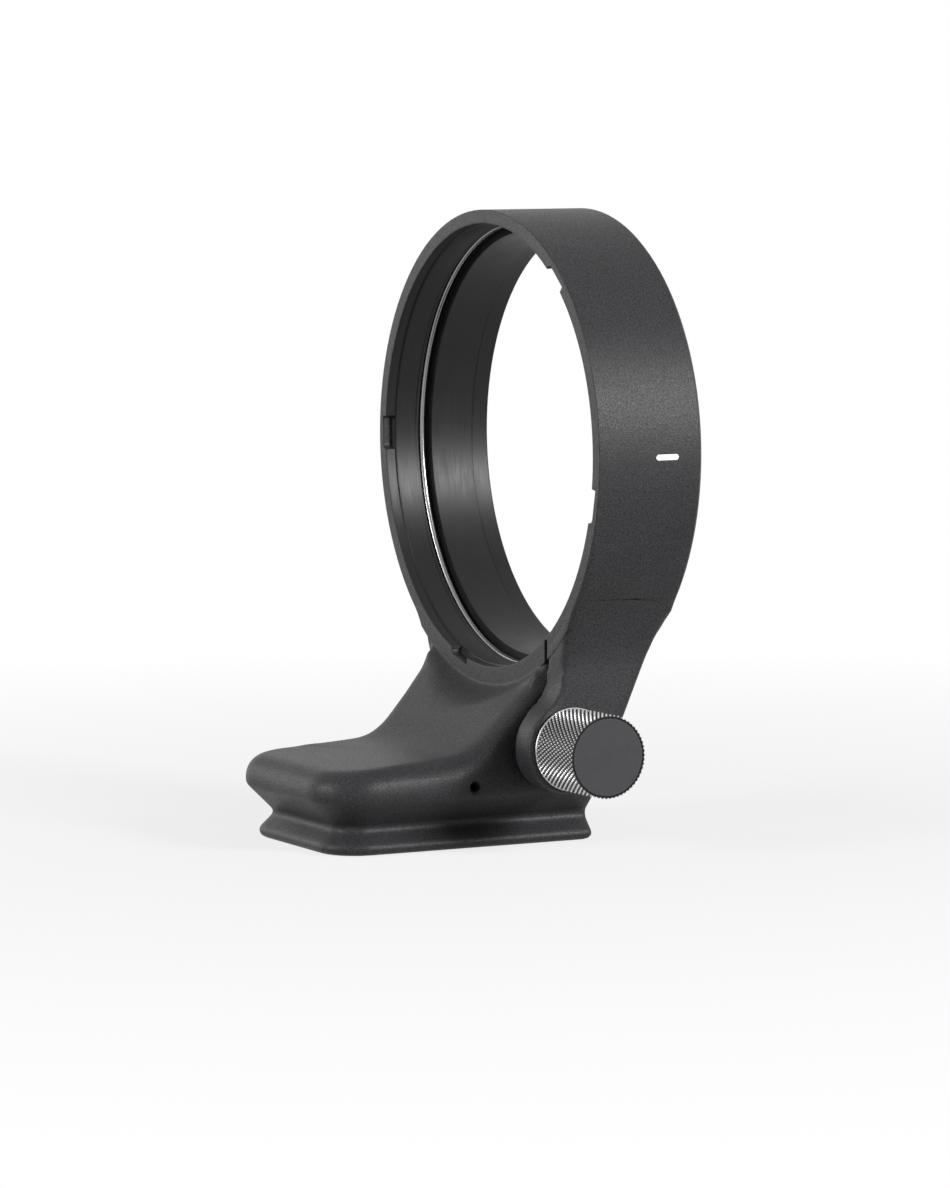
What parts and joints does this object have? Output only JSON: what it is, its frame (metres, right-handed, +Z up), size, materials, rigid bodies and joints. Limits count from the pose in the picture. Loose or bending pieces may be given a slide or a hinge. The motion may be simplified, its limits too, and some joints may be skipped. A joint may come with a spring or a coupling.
{
  "type": "lens tripod collar",
  "caption": "Split-ring tripod collar for a telephoto lens, with a dovetail foot and a knurled clamp knob.",
  "frame": {"origin": "on the ring's axis, at the middle of the ring's width", "axes": "+X to the knob side, +Y to the rear along the lens axis, +Z up, away from the foot"},
  "size_m": [0.0874, 0.0641, 0.1153],
  "materials": {
    "crinkle_paint": "fine textured black paint, matte",
    "liner_plastic": "smooth black plastic strip",
    "spring_steel": "bright spring steel",
    "white_fill": "white paint fill",
    "brass_bush": "plain turned brass",
    "steel": "plain turned steel",
    "blackened_steel": "blackened steel",
    "white_plastic": "plain white bearing plastic",
    "black_anodised": "black anodised, knurled",
    "cap_black": "black, fine grained matte"
  },
  "bodies": {
    "collar": {"collar_casting": "crinkle_paint", "bore_liner": "liner_plastic", "friction_wire": "spring_steel", "index_mark": "white_fill", "arm_bush": "brass_bush", "tripod_bush": "steel", "bush_lock_screw": "blackened_steel"},
    "washers": {"thrust_washer": "white_plastic"},
    "knob": {"clamp_stud": "steel", "knob_body": "black_anodised", "knob_cap": "cap_black"}
  },
  "joints": [
    {"name": "knob_travel", "type": "slide", "parent": "collar", "child": "washers", "axis": [1, 0, 0], "range_m": [0, 0.0012]},
    {"name": "knob_turn", "type": "hinge", "parent": "washers", "child": "knob", "pos_m": [0.037, -0.00915, -0.0532], "axis": [1, 0, 0], "range_deg": [0, 540]}
  ],
  "couplings": [
    {"joint": "knob_travel", "follows": "knob_turn", "m_per_rad": 0.00012732}
  ]
}
